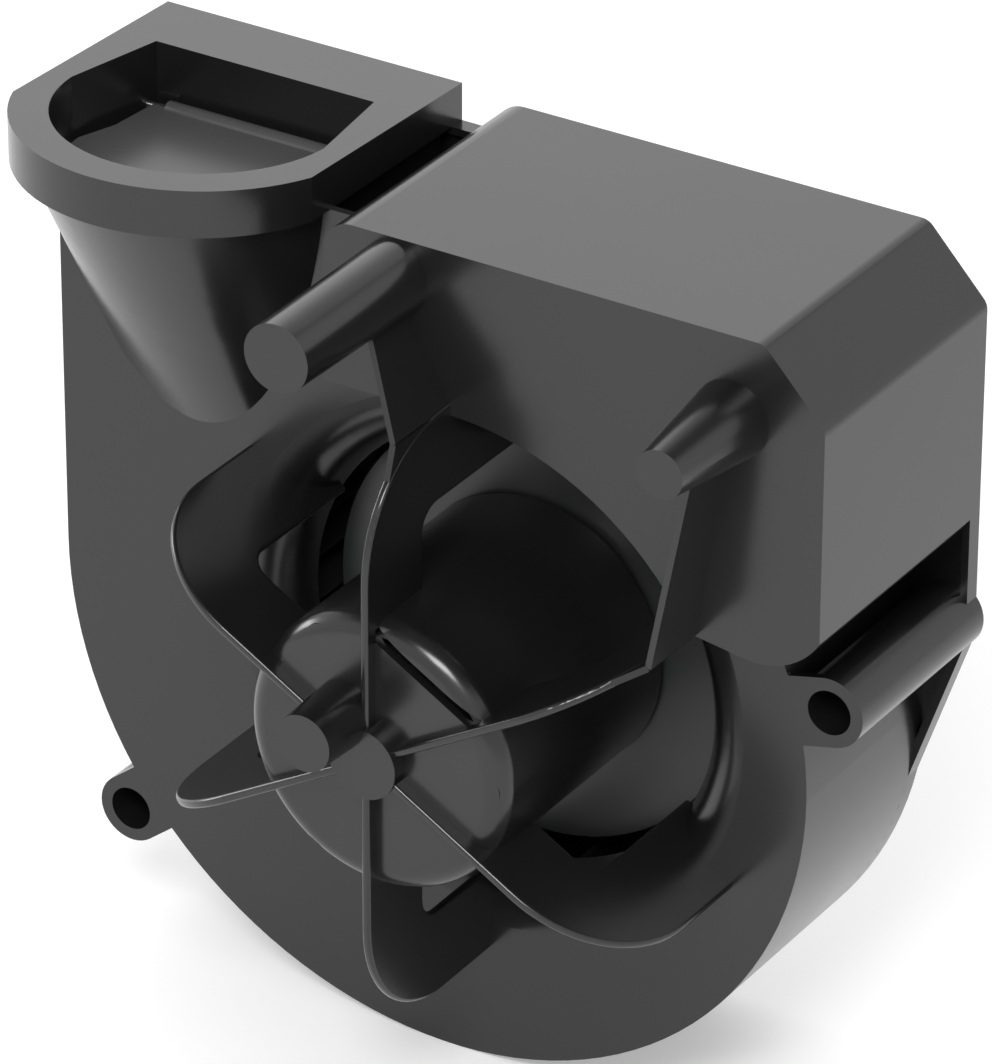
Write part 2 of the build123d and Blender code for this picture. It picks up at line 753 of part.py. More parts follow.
with BuildPart() as motor_stator:
    tooth_length = motor_radius - stator_yoke / 2 - stator_bore
    tip_reach = stator_bore + 2 * tooth_tip
    with BuildSketch(fan_view(core_front_y)):
        Circle(motor_radius)
        Circle(motor_radius - stator_yoke, mode=Mode.SUBTRACT)
        with PolarLocations(0, tooth_count):
            with Locations((stator_bore, 0)):
                Rectangle(tooth_length, tooth_width, align=(Align.MIN, Align.CENTER))
        with BuildSketch(mode=Mode.PRIVATE) as tips:
            Circle(stator_bore + tooth_tip)
            with PolarLocations(0, tooth_count, start_angle=180 / tooth_count):
                Rectangle(tip_reach, tooth_opening, align=(Align.MIN, Align.CENTER), mode=Mode.SUBTRACT)
        add(tips.sketch_local)
        Circle(stator_bore, mode=Mode.SUBTRACT)
    extrude(amount=-core_length)
write(motor_stator, "motor_stator")

with BuildPart() as motor_coils:
    coil_inner_x = stator_bore + tooth_tip + coil_gap
    coil_width = tooth_width + 2 * (coil_gap + coil_build)
    coil_outer_x = sqrt((motor_radius - stator_yoke - coil_gap) ** 2 - (coil_width / 2) ** 2)
    middle_y = core_front_y + core_length / 2
    for i in range(tooth_count):
        a = radians(i * 360 / tooth_count)
        outwards = (cos(a), 0, sin(a))
        start = (fan_x + coil_inner_x * cos(a), middle_y, fan_z + coil_inner_x * sin(a))
        with BuildSketch(Plane(origin=start, x_dir=(0, 1, 0), z_dir=outwards)) as loop:
            RectangleRounded(core_length + 2 * coil_overhang, coil_width, coil_round)
            Rectangle(core_length + 2 * coil_gap, tooth_width + 2 * coil_gap, mode=Mode.SUBTRACT)
        extrude(loop.sketch, amount=coil_outer_x - coil_inner_x)
write(motor_coils, "motor_coils")

with BuildPart() as motor_rotor:
    rotor_radius = stator_bore - air_gap
    round_part([(shaft_radius + press_gap, core_front_y), (rotor_radius, core_front_y),
                (rotor_radius, core_back_y), (shaft_radius + press_gap, core_back_y)])
    for start, end in ((core_front_y - rotor_ring, core_front_y), (core_back_y, core_back_y + rotor_ring)):
        round_part([(rotor_ring_inner, start), (rotor_ring_outer, start),
                    (rotor_ring_outer, end), (rotor_ring_inner, end)])
write(motor_rotor, "motor_rotor")

with BuildPart() as motor_shaft:
    round_part([(0, shaft_front_y), (shaft_radius - shaft_bevel, shaft_front_y),
                (shaft_radius, shaft_front_y + shaft_bevel), (shaft_radius, shaft_back_y - shaft_bevel),
                (shaft_radius - shaft_bevel, shaft_back_y), (0, shaft_back_y)])
write(motor_shaft, "motor_shaft")

for label, start in (("front_bearing", front_shield_y + bearing_inset),
                     ("rear_bearing", rear_shield_y - bearing_length + bearing_inset)):
    with BuildPart() as bearing:
        end = start + bearing_length - 2 * bearing_inset
        round_part([(shaft_radius + running_gap, start), (bearing_radius, start),
                    (bearing_radius, end), (shaft_radius + running_gap, end)])
    write(bearing, label)

with BuildPart() as motor_cushion:
    cushion_y = cup_face_y + cup_wall
    round_part([(cushion_inner_radius, cushion_y), (cushion_outer_radius, cushion_y),
                (cushion_outer_radius, front_shield_y), (cushion_inner_radius, front_shield_y)])
write(motor_cushion, "motor_cushion")

with BuildPart() as motor_bushes:
    with BuildSketch(fan_view(motor_seat_y)):
        with PolarLocations(motor_post_circle, motor_post_count, start_angle=motor_post_angle):
            Circle(motor_bush_radius)
            Circle(screw_radius + screw_clearance, mode=Mode.SUBTRACT)
    extrude(amount=-motor_bush_height)
write(motor_bushes, "motor_bushes")

with BuildPart() as motor_screws:
    motor_screws_at = []
    for i in range(motor_post_count):
        a = radians(motor_post_angle + i * 360 / motor_post_count)
        motor_screws_at.append((fan_x + motor_post_circle * cos(a), fan_z + motor_post_circle * sin(a)))
    screws(motor_screws_at, rear_shield_y, screw_length)
write(motor_screws, "motor_screws")


# Impeller with forward-curved blades between a dished hub and a front ring
with BuildSketch(fan_view(0)) as blade:
    lean = radians(blade_lean)
    middle_radius = (blade_inner_radius + impeller_radius) / 2
    with BuildLine():
        ThreePointArc((blade_inner_radius, 0), (middle_radius, blade_bow - middle_radius * sin(lean / 2)),
                      (impeller_radius * cos(lean), -impeller_radius * sin(lean)))
    trace(line_width=blade_thickness)

with BuildPart() as impeller:
    rim_front_y = impeller_back_y - impeller_disc
    with BuildSketch(turning_plane(fan_x, fan_z)):
        with BuildLine():
            Polyline((shaft_radius + press_gap, impeller_disc_y), (cone_radius, impeller_disc_y),
                     (blade_inner_radius, rim_front_y), (impeller_radius, rim_front_y),
                     (impeller_radius, impeller_back_y), (blade_inner_radius - impeller_disc, impeller_back_y),
                     (cone_radius - impeller_disc, impeller_disc_y + impeller_disc),
                     (hub_boss_radius, impeller_disc_y + impeller_disc), (hub_boss_radius, hub_boss_back_y),
                     (shaft_radius + press_gap, hub_boss_back_y), close=True)
        make_face()
    revolve(axis=y_axis(fan_x, fan_z))
    with BuildSketch(fan_view(impeller_front_y)):
        with PolarLocations(0, blade_count):
            add(blade.sketch_local)
    extrude(amount=impeller_front_y - rim_front_y - impeller_disc / 2)
write(impeller, "impeller")

with BuildPart() as impeller_front_ring:
    ring_front_y = impeller_front_y - ring_thickness
    round_part([(ring_inner_radius, ring_front_y), (ring_outer_radius, ring_front_y),
                (ring_outer_radius, impeller_front_y), (ring_inner_radius, impeller_front_y)])
write(impeller_front_ring, "impeller_front_ring")

with BuildPart() as impeller_clip:
    clip_y = hub_boss_back_y + clip_gap
    with BuildSketch(fan_view(clip_y)):
        Circle(clip_radius)
        Circle(shaft_radius + press_gap, mode=Mode.SUBTRACT)
        with PolarLocations(clip_radius, 3):
            Rectangle(clip_radius, clip_slot, mode=Mode.SUBTRACT)
    extrude(amount=-clip_thickness)
write(impeller_clip, "impeller_clip")


# Backdraft flap on a steel pin across the back of the mouth
with BuildPart() as backdraft_flap:
    waist_y = pin_y - flap_waist
    waist = mouth_back_half_width + flap_waist_clearance - flap_side_gap
    back = mouth_back_half_width - flap_side_gap
    side = sqrt((mouth_radius - flap_side_gap) ** 2 - (flange_arc_y - mouth_side_y) ** 2)
    with BuildSketch(Plane.XY.offset(flap_top_z - flap_thickness)):
        with BuildLine():
            Polyline((outlet_x - side, mouth_side_y), (outlet_x - waist, waist_y), (outlet_x - back, pin_y),
                     (outlet_x + back, pin_y), (outlet_x + waist, waist_y), (outlet_x + side, mouth_side_y))
            ThreePointArc((outlet_x - side, mouth_side_y),
                          (outlet_x, flange_arc_y - mouth_radius + flap_side_gap),
                          (outlet_x + side, mouth_side_y))
        make_face()
    extrude(amount=flap_thickness)
    with BuildSketch(Plane.YZ.offset(outlet_x)):
        with Locations((pin_y, pin_z)):
            Circle(flap_knuckle_radius)
    extrude(amount=knuckle_half_length, both=True)
    with BuildSketch(Plane.YZ.offset(outlet_x)):
        with Locations((pin_y, pin_z)):
            Circle(flap_pin_radius + running_gap)
    extrude(amount=mouth_radius, both=True, mode=Mode.SUBTRACT)
write(backdraft_flap, "backdraft_flap")

with BuildPart() as flap_pin:
    with BuildSketch(Plane.YZ.offset(outlet_x)):
        with Locations((pin_y, pin_z)):
            Circle(flap_pin_radius)
    extrude(amount=flap_pin_half_length - press_gap, both=True)
write(flap_pin, "flap_pin")


# Control board with its parts, all standing back from the board
with BuildPart() as control_board:
    with BuildSketch(front_view(board_y)) as board_outline:
        with Locations((board_left_x, board_low_z)):
            Rectangle(board_right_x - board_left_x, board_top_z - board_low_z, align=(Align.MIN, Align.MIN))
        chamfer(corner(board_outline, board_right_x, board_top_z), board_corner)
        with Locations(*board_screws_at):
            Circle(screw_radius + screw_clearance, mode=Mode.SUBTRACT)
    extrude(amount=-board_thickness)
write(control_board, "control_board")

with BuildPart() as board_screws:
    screws(board_screws_at, board_back_y, board_screw_length)
write(board_screws, "board_screws")


def block(place, size, corner_radius):
    """A moulded component on the back of the board, by its width, height and depth."""
    width, height, depth = size
    with BuildSketch(front_view(board_back_y)) as base:
        with Locations(place):
            RectangleRounded(width, height, corner_radius)
    extrude(base.sketch, amount=-depth)


with BuildPart() as board_relay:
    block(relay_place, relay_size, relay_corner)
write(board_relay, "board_relay")

with BuildPart() as run_capacitor:
    block(capacitor_place, capacitor_size, capacitor_corner)
write(run_capacitor, "run_capacitor")

with BuildPart() as terminal_block:
    block((plug_x, plug_z), (3 * contact_pitch, terminal_height, terminal_depth), terminal_corner)
    with BuildSketch(front_view(board_back_y + terminal_depth)):
        with Locations((plug_x, plug_z)):
            with GridLocations(contact_pitch, 1, 3, 1):
                Circle(lead_radius + press_gap)
    extrude(amount=lead_grip, mode=Mode.SUBTRACT)
write(terminal_block, "terminal_block")

with BuildPart() as board_choke:
    with BuildSketch(front_view(board_back_y)):
        with Locations(choke_place):
            Circle(choke_radius)
    extrude(amount=-choke_height)
write(board_choke, "board_choke")


# Mains plug seated in the cover, open to the back, with three leads from the board
with BuildPart() as mains_plug:
    plug_front_y = joint_y - plug_depth
    with BuildSketch(front_view(plug_front_y)):
        with Locations((plug_x, plug_z)):
            RectangleRounded(plug_width, plug_height, plug_corner)
    extrude(amount=plug_front_y - casing_depth)
    with BuildSketch(front_view(joint_y - plug_flange - plug_gap)):
        with Locations((plug_x, plug_z)):
            RectangleRounded(plug_width + 2 * plug_flange, plug_height + 2 * plug_flange, plug_corner)
    extrude(amount=-plug_flange)
    with BuildSketch(front_view(casing_depth)):
        with Locations((plug_x, plug_z)):
            RectangleRounded(plug_width - 2 * plug_wall, plug_height - 2 * plug_wall, plug_corner - plug_wall / 2)
    extrude(amount=plug_recess, mode=Mode.SUBTRACT)
    with BuildSketch(front_view(casing_depth - plug_recess)):
        with Locations((plug_x, plug_z)):
            with GridLocations(contact_pitch, 1, 3, 1):
                Rectangle(contact_thickness + 2 * press_gap, contact_width + 2 * press_gap)
    extrude(amount=contact_root, mode=Mode.SUBTRACT)
    with BuildSketch(front_view(plug_front_y)):
        with Locations((plug_x, plug_z)):
            with GridLocations(contact_pitch, 1, 3, 1):
                Circle(lead_radius + press_gap)
    extrude(amount=-lead_grip, mode=Mode.SUBTRACT)
write(mains_plug, "mains_plug")

with BuildPart() as plug_contacts:
    with BuildSketch(front_view(casing_depth - plug_recess - contact_root + press_gap)):
        with Locations((plug_x, plug_z)):
            with GridLocations(contact_pitch, 1, 3, 1):
                Rectangle(contact_thickness, contact_width)
    extrude(amount=-(contact_root + plug_recess - contact_set_back))
write(plug_contacts, "plug_contacts")

with BuildPart() as plug_leads:
    leads_front_y = board_back_y + terminal_depth - lead_grip + press_gap
    with BuildSketch(front_view(leads_front_y)):
        with Locations((plug_x, plug_z)):
            with GridLocations(contact_pitch, 1, 3, 1):
                Circle(lead_radius)
    extrude(amount=leads_front_y - plug_front_y - lead_grip + press_gap)
write(plug_leads, "plug_leads")
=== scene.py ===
"""Finishes and studio for a radial fan insert.

The insert is one dark moulded casing with a bellmouth inlet, six motor fins, an electronics box and a
D-shaped outlet, and it holds a motor, an impeller, a control board, a mains plug and a backdraft flap.
Lengths are in metres unless a name says otherwise.
"""
import math

import bmesh
import bpy
from mathutils import Matrix, Quaternion, Vector


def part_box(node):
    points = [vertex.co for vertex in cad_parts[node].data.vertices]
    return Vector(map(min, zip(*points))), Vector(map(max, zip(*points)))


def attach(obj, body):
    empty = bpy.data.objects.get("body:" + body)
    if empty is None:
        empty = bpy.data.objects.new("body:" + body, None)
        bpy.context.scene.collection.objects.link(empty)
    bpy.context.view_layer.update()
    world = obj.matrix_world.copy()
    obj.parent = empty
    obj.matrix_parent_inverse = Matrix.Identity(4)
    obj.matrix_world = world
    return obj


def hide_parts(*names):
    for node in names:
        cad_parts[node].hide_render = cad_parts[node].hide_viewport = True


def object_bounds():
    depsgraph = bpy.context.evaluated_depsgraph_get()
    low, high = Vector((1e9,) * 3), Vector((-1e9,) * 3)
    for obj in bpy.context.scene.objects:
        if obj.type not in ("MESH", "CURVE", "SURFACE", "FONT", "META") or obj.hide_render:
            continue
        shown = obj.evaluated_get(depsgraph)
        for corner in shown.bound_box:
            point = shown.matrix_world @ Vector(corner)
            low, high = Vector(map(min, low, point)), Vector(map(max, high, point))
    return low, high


bl_info = {
    "name": "Fan Insert Finishes",
    "version": (1, 0, 0),
    "blender": (4, 5, 0),
    "location": "View3D > Sidebar > Fan Insert",
    "description": "Gives a radial fan insert its materials and sets up its studio",
    "category": "Object",
}

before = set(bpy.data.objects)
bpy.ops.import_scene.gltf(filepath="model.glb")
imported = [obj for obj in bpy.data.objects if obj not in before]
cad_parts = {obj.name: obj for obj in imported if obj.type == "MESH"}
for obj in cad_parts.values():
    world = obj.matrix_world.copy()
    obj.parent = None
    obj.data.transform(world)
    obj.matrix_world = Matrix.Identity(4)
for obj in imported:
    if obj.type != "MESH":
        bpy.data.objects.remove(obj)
cad_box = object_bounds()

MM = 0.001

# Faces of a made piece that meet at a steeper angle than this show an edge
SHARP_ANGLE = math.radians(28)

# Range that nearly all of Blender's noise lies in
NOISE_LOW = 0.3
NOISE_HIGH = 0.7

# How far each kind of finish drifts in shade and in roughness, and over what width
MOULDED_SHADE_DRIFT = 0.04
MOULDED_SHADE_WIDTH = 30 * MM
MOULDED_ROUGHNESS_DRIFT = (-0.012, 0.015)
MOULDED_ROUGHNESS_WIDTH = 25 * MM
METAL_SHADE_DRIFT = 0.08
METAL_SHADE_WIDTH = 4 * MM
METAL_ROUGHNESS_DRIFT = (-0.05, 0.08)
METAL_ROUGHNESS_WIDTH = 2 * MM
PLAIN_SHADE_WIDTH = 6 * MM
PLAIN_ROUGHNESS_DRIFT = (-0.03, 0.05)
PLAIN_ROUGHNESS_WIDTH = 5 * MM
FLOOR_SHADE_DRIFT = 0.004
FLOOR_SHADE_WIDTH = 0.4

# The outlet and the funnel below its flange, in millimetres
OUTLET_X = -80.9
CASING_LEFT_X = -116.6
FLANGE_ARC_Y = 9.25
FLANGE_LOW_Z = 138.4
MOUTH_RADIUS = 36.25
MOUTH_SIDE_Y = 7.2
MOUTH_SIDE_HALF_WIDTH = math.sqrt(MOUTH_RADIUS ** 2 - (FLANGE_ARC_Y - MOUTH_SIDE_Y) ** 2)
MOUTH_BACK_Y = 36.0
MOUTH_BACK_HALF_WIDTH = 31.5
MOUTH_SLOPE = (MOUTH_SIDE_HALF_WIDTH - MOUTH_BACK_HALF_WIDTH) / (MOUTH_BACK_Y - MOUTH_SIDE_Y)
SEAT_LOW_Z = 129.0
SEAT_Z = 131.8
FUNNEL_TOP_RADIUS = 42.0
FUNNEL_LOW_RADIUS = 36.2
FUNNEL_SHIFT_X = 3.5
FUNNEL_LOW_Y = 36.2
FUNNEL_LOW_Z = 71.2
FUNNEL_WALL = 2.4
FUNNEL_FRONT_Y = 1.95
FUNNEL_LEVELS = 26
FUNNEL_COLUMNS = 30

# Share of the way to the point where the funnel's side would vanish at which it stops
FUNNEL_STOP = 0.99

# How deep the funnel's side is sunk in the faces that it joins, and in the wall and flange that hold it
SINK = 0.02
GRIP = 0.2

# The cover's screws: places in millimetres, the turn of each one's recess in degrees, and their shape
COVER_SCREWS = ((-22.8, 140.6), (38.0, 140.6), (88.5, 140.6), (101.0, 76.5))
RECESS_TURNS = (12.0, 57.0, 31.0, 76.0)
SCREW_RADIUS = 1.5 * MM
SCREW_CORE = 1.1 * MM
SCREW_LENGTH = 14.0 * MM
SCREW_POINT_RADIUS = 0.1 * MM
THREAD_PITCH = 1.25 * MM
THREAD_FLANK = 0.2 * THREAD_PITCH
THREAD_TURNS = 10
SCREW_SIDES = 40
HEAD_RADIUS = 2.9 * MM
HEAD_HEIGHT = 2.0 * MM
HEAD_ROUND = 0.9 * MM
HEAD_START = math.radians(20)
HEAD_SWEEP = math.radians(70)
HEAD_STEPS = 6
RECESS_DEPTH = 1.3 * MM
RECESS_REACH = 1.65 * MM
RECESS_WIDTH = 0.42 * MM
RECESS_CLEAR = 0.5 * MM
RECESS_END_REACH = 0.5 * RECESS_REACH
RECESS_END_WIDTH = 0.7 * RECESS_WIDTH

# Lamps: name, place from the camera's target, width and height in metres, and the setting of its power
SOFTBOXES = (
    ("softbox_back", (-0.75, 1.18, 0.78), 2.4, 1.8, "back_power"),
    ("softbox_key", (0.42, -1.0, 1.02), 0.55, 0.42, "key_power"),
    ("softbox_left", (-1.4, -0.1, 0.25), 0.5, 0.4, "left_power"),
)
FLOOR_RADIUS = 12.0
FLOOR_SIDES = 96

# Heights of a direction between which reflections go from the white walls to the dark ceiling
CEILING_START = 0.55
CEILING_FULL = 0.72

FILM_WIDTH_MM = 36.0
CLIP_START = 0.05
CLIP_END = 50.0


def linear(hex_colour):
    """An sRGB hex colour as linear red, green, blue and alpha."""
    parts = [int(hex_colour[i:i + 2], 16) / 255 for i in (1, 3, 5)]
    return tuple(p / 12.92 if p <= 0.04045 else ((p + 0.055) / 1.055) ** 2.4 for p in parts) + (1.0,)


def colour_property(name, description, hex_colour):
    """A colour that a user can change, with its default given as sRGB hex."""
    return bpy.props.FloatVectorProperty(name=name, description=description, subtype="COLOR", size=4,
                                         min=0.0, max=1.0, default=linear(hex_colour))


class FinishSettings(bpy.types.PropertyGroup):
    """Colours and textures of the insert's finishes."""

    casing_colour: colour_property("Casing", "Near black of the moulded casing and cover", "#19191A")
    # The flap's grey is the casing's near black painted lighter: painted light for the sky's reflection on
    # the mouth's floor
    flap_colour_with_painted_light: colour_property("Flap", "Colour of the backdraft flap", "#4C4C4D")
    impeller_colour: colour_property("Impeller", "Colour of the blade wheel", "#2B2C2D")
    plug_colour: colour_property("Plug", "Colour of the mains plug's body", "#C9C8C2")
    grain_size: bpy.props.FloatProperty(
        name="Grain size", description="Width of the casing's moulded grain",
        default=0.35 * MM, min=0.1 * MM, unit="LENGTH")
    grain_depth: bpy.props.FloatProperty(
        name="Grain depth", description="Height of the casing's moulded grain",
        default=0.0012 * MM, min=0.0, unit="LENGTH")
    casing_roughness: bpy.props.FloatProperty(
        name="Casing roughness", description="How dull the casing is",
        default=0.22, min=0.0, max=1.0, subtype="FACTOR")
    flap_roughness: bpy.props.FloatProperty(
        name="Flap roughness", description="How dull the backdraft flap is",
        default=0.28, min=0.0, max=1.0, subtype="FACTOR")
    impeller_roughness: bpy.props.FloatProperty(
        name="Impeller roughness", description="How dull the blade wheel is",
        default=0.35, min=0.0, max=1.0, subtype="FACTOR")


class StudioSettings(bpy.types.PropertyGroup):
    """Camera, floor and lamps."""

    azimuth: bpy.props.FloatProperty(
        name="Azimuth", description="Camera's turn to the right of the front",
        default=math.radians(32.30), subtype="ANGLE")
    elevation: bpy.props.FloatProperty(
        name="Elevation", description="Camera's height above the horizon",
        default=math.radians(28.92), subtype="ANGLE")
    roll: bpy.props.FloatProperty(
        name="Roll", description="Camera's tilt about its own view",
        default=math.radians(0.19), subtype="ANGLE")
    distance: bpy.props.FloatProperty(
        name="Distance", description="From the camera to the point it looks at",
        default=1.83, min=0.1, unit="LENGTH")
    target: bpy.props.FloatVectorProperty(
        name="Target", description="Point that the camera looks at",
        default=(-0.01597, 0.03801, 0.04099), subtype="XYZ", unit="LENGTH")
    lens: bpy.props.FloatProperty(
        name="Lens", description="Focal length in millimetres on a 36 mm frame",
        default=254.79, min=1.0)
    floor_colour: colour_property("Floor", "Pale floor", "#E7E7E7")
    key_power: bpy.props.FloatProperty(
        name="Key lamp", description="Power of the softbox above the front, in watts",
        default=11.0, min=0.0)
    back_power: bpy.props.FloatProperty(
        name="Back lamp", description="Power of the broad softbox behind, in watts",
        default=9.0, min=0.0)
    left_power: bpy.props.FloatProperty(
        name="Left lamp", description="Power of the low softbox on the left, in watts",
        default=5.0, min=0.0)
    sky_strength: bpy.props.FloatProperty(
        name="Sky strength", description="Light that comes from all round",
        default=0.7, min=0.0)
    floor_glow: bpy.props.FloatProperty(
        name="Floor glow", description="How much whiter the floor looks than it lights",
        default=0.3, min=0.0)
    ceiling_level: bpy.props.FloatProperty(
        name="Ceiling level", description="How light the ceiling looks in reflections",
        default=0.15, min=0.0, max=1.0, subtype="FACTOR")


def add_node(tree, kind, inputs=None, **settings):
    """Adds a shader node, sets its attributes, and fills its inputs with values or with other sockets."""
    made = tree.nodes.new(kind)
    for name, value in settings.items():
        setattr(made, name, value)
    for name, value in (inputs or {}).items():
        if isinstance(value, bpy.types.NodeSocket):
            tree.links.new(value, made.inputs[name])
        else:
            made.inputs[name].default_value = value
    return made


def new_material(name):
    """An empty node material with its output and the object's own coordinates."""
    material = bpy.data.materials.new(name)
    material.use_nodes = True
    material.node_tree.nodes.clear()
    coordinates = add_node(material.node_tree, "ShaderNodeTexCoord")
    return material, material.node_tree, coordinates.outputs["Object"]


def close_material(material, shader):
    """Links the shader to the material's output."""
    add_node(material.node_tree, "ShaderNodeOutputMaterial", {"Surface": shader.outputs[0]})
    return material


def varied(tree, place, colour, spread, size):
    """A colour that drifts lighter and darker by a share over patches of a given size."""
    cloud = add_node(tree, "ShaderNodeTexNoise", {"Vector": place, "Scale": 1 / size, "Detail": 4.0})
    low = tuple(c * (1 - spread) for c in colour[:3]) + (1.0,)
    high = tuple(min(1.0, c * (1 + spread)) for c in colour[:3]) + (1.0,)
    ramp = add_node(tree, "ShaderNodeValToRGB", {"Fac": cloud.outputs["Fac"]})
    ramp.color_ramp.elements[0].position = NOISE_LOW
    ramp.color_ramp.elements[0].color = low
    ramp.color_ramp.elements[1].position = NOISE_HIGH
    ramp.color_ramp.elements[1].color = high
    return ramp.outputs["Color"]


def varied_value(tree, place, middle, drift, size):
    """A number that drifts below and above its middle over patches of a given size."""
    cloud = add_node(tree, "ShaderNodeTexNoise", {"Vector": place, "Scale": 1 / size, "Detail": 3.0})
    spread = add_node(tree, "ShaderNodeMapRange", {"Value": cloud.outputs["Fac"],
                                                   "From Min": NOISE_LOW, "From Max": NOISE_HIGH,
                                                   "To Min": middle + drift[0], "To Max": middle + drift[1]})
    return spread.outputs["Result"]


def grain(tree, place, size, depth):
    """Normals of a grain by its width and height; real grain under 0.1 mm is drawn coarser, to show."""
    cloud = add_node(tree, "ShaderNodeTexNoise", {"Vector": place, "Scale": 1 / size, "Detail": 2.0})
    bump = add_node(tree, "ShaderNodeBump", {"Height": cloud.outputs["Fac"], "Distance": depth,
                                             "Strength": 1.0})
    return bump.outputs["Normal"]


def moulded(name, colour, roughness, grain_size, grain_depth):
    """Plastic from a polished mould: a dark even body, with blurred reflections that carry its shape."""
    material, tree, place = new_material(name)
    shade = varied(tree, place, colour, MOULDED_SHADE_DRIFT, MOULDED_SHADE_WIDTH)
    dull = varied_value(tree, place, roughness, MOULDED_ROUGHNESS_DRIFT, MOULDED_ROUGHNESS_WIDTH)
    normal = grain(tree, place, grain_size, grain_depth)
    skin = add_node(tree, "ShaderNodeBsdfPrincipled", {"Base Color": shade, "Roughness": dull, "IOR": 1.56,
                                                       "Normal": normal})
    return close_material(material, skin)


def metal(name, hex_colour, roughness, grain_size, grain_depth, stretch=(1, 1, 1)):
    """Bare metal: coloured reflections, broken by marks that can be drawn out along one axis."""
    material, tree, place = new_material(name)
    drawn = add_node(tree, "ShaderNodeMapping", {"Vector": place, "Scale": stretch}).outputs["Vector"]
    shade = varied(tree, drawn, linear(hex_colour), METAL_SHADE_DRIFT, METAL_SHADE_WIDTH)
    dull = varied_value(tree, drawn, roughness, METAL_ROUGHNESS_DRIFT, METAL_ROUGHNESS_WIDTH)
    normal = grain(tree, drawn, grain_size, grain_depth)
    skin = add_node(tree, "ShaderNodeBsdfPrincipled", {"Base Color": shade, "Roughness": dull,
                                                       "Metallic": 1.0, "Normal": normal})
    return close_material(material, skin)


def plain(name, colour, roughness, ior, spread, grain_size, grain_depth):
    """Plastic, rubber, lacquer or ferrite of one colour, under a soft sheen."""
    material, tree, place = new_material(name)
    shade = varied(tree, place, colour, spread, PLAIN_SHADE_WIDTH)
    dull = varied_value(tree, place, roughness, PLAIN_ROUGHNESS_DRIFT, PLAIN_ROUGHNESS_WIDTH)
    normal = grain(tree, place, grain_size, grain_depth)
    skin = add_node(tree, "ShaderNodeBsdfPrincipled", {"Base Color": shade, "Roughness": dull, "IOR": ior,
                                                       "Normal": normal})
    return close_material(material, skin)


def dress(material, *names):
    """Gives CAD nodes one material."""
    for name in names:
        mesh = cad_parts[name].data
        mesh.materials.clear()
        mesh.materials.append(material)


class FANINSERT_OT_casing(bpy.types.Operator):
    """Moulded casing and rear cover"""

    bl_idname = "faninsert.casing"
    bl_label = "Casing"

    def execute(self, context):
        finish = context.scene.fan_finish
        # ABS moulded in a polished tool: near black, with the studio's blurred image in every face
        abs_casing = moulded("moulded_abs_anthracite", finish.casing_colour, finish.casing_roughness,
                             finish.grain_size, finish.grain_depth)
        dress(abs_casing, "main_housing", "rear_cover")
        return {"FINISHED"}


class FANINSERT_OT_flap(bpy.types.Operator):
    """Backdraft flap and its pin"""

    bl_idname = "faninsert.flap"
    bl_label = "Backdraft flap"

    def execute(self, context):
        finish = context.scene.fan_finish
        # ABS, a moulding like the casing, painted a paler grey than it: the lift is painted light that stands
        # in for the sky's reflection on the mouth's floor, so that the thin flap shows at the bottom of the
        # dark mouth
        abs_flap = moulded("moulded_abs_flap", finish.flap_colour_with_painted_light, finish.flap_roughness,
                           finish.grain_size, finish.grain_depth)
        dress(abs_flap, "backdraft_flap")
        # Ground steel: a glint where the pin's ends come out of the flap
        pin_steel = metal("ground_steel_pin", "#B9BABB", roughness=0.25, grain_size=0.2 * MM,
                          grain_depth=0.002 * MM, stretch=(1, 8, 8))
        dress(pin_steel, "flap_pin")
        return {"FINISHED"}


class FANINSERT_OT_impeller(bpy.types.Operator):
    """Blade wheel with its front ring"""

    bl_idname = "faninsert.impeller"
    bl_label = "Impeller"

    def execute(self, context):
        finish = context.scene.fan_finish
        # Polypropylene: a waxy dark grey, duller than the casing, that sets the blades off in the bellmouth
        wheel = moulded("moulded_polypropylene_wheel", finish.impeller_colour, finish.impeller_roughness,
                        grain_size=0.4 * MM, grain_depth=0.003 * MM)
        dress(wheel, "impeller", "impeller_front_ring")
        return {"FINISHED"}


class FANINSERT_OT_motor(bpy.types.Operator):
    """Shields, core, coils and rotor of the motor"""

    bl_idname = "faninsert.motor"
    bl_label = "Motor"

    def execute(self, context):
        # Pressed aluminium: pale and softly mirrored
        aluminium = metal("pressed_aluminium_shield", "#B4B6B8", roughness=0.35, grain_size=0.4 * MM,
                          grain_depth=0.004 * MM)
        dress(aluminium, "motor_front_shield", "motor_rear_shield")
        # Stacked electrical steel: dark grey, with the edges of its 0.5 mm sheets as lines round the core
        sheets = metal("laminated_electrical_steel", "#6E7073", roughness=0.4, grain_size=0.5 * MM,
                       grain_depth=0.01 * MM, stretch=(0.2, 1, 0.2))
        dress(sheets, "motor_stator", "motor_rotor")
        # Enamelled wire: copper red, ribbed by its turns
        wire = metal("enamelled_copper_wire", "#B4633A", roughness=0.3, grain_size=0.4 * MM,
                     grain_depth=0.04 * MM, stretch=(0.2, 1, 0.2))
        dress(wire, "motor_coils")
        return {"FINISHED"}


class FANINSERT_OT_shaft(bpy.types.Operator):
    """Shaft, its clip and the two sleeve bearings"""

    bl_idname = "faninsert.shaft"
    bl_label = "Shaft and bearings"

    def execute(self, context):
        # Ground steel: bright, with faint rings from the grinding
        ground = metal("ground_steel_shaft", "#C6C7C8", roughness=0.2, grain_size=0.2 * MM,
                       grain_depth=0.002 * MM, stretch=(1, 0.2, 1))
        dress(ground, "motor_shaft", "impeller_clip")
        # Sintered bronze: brown and dull, from its pores
        bronze = metal("sintered_bronze", "#9A7448", roughness=0.5, grain_size=0.15 * MM,
                       grain_depth=0.01 * MM)
        dress(bronze, "front_bearing", "rear_bearing")
        return {"FINISHED"}


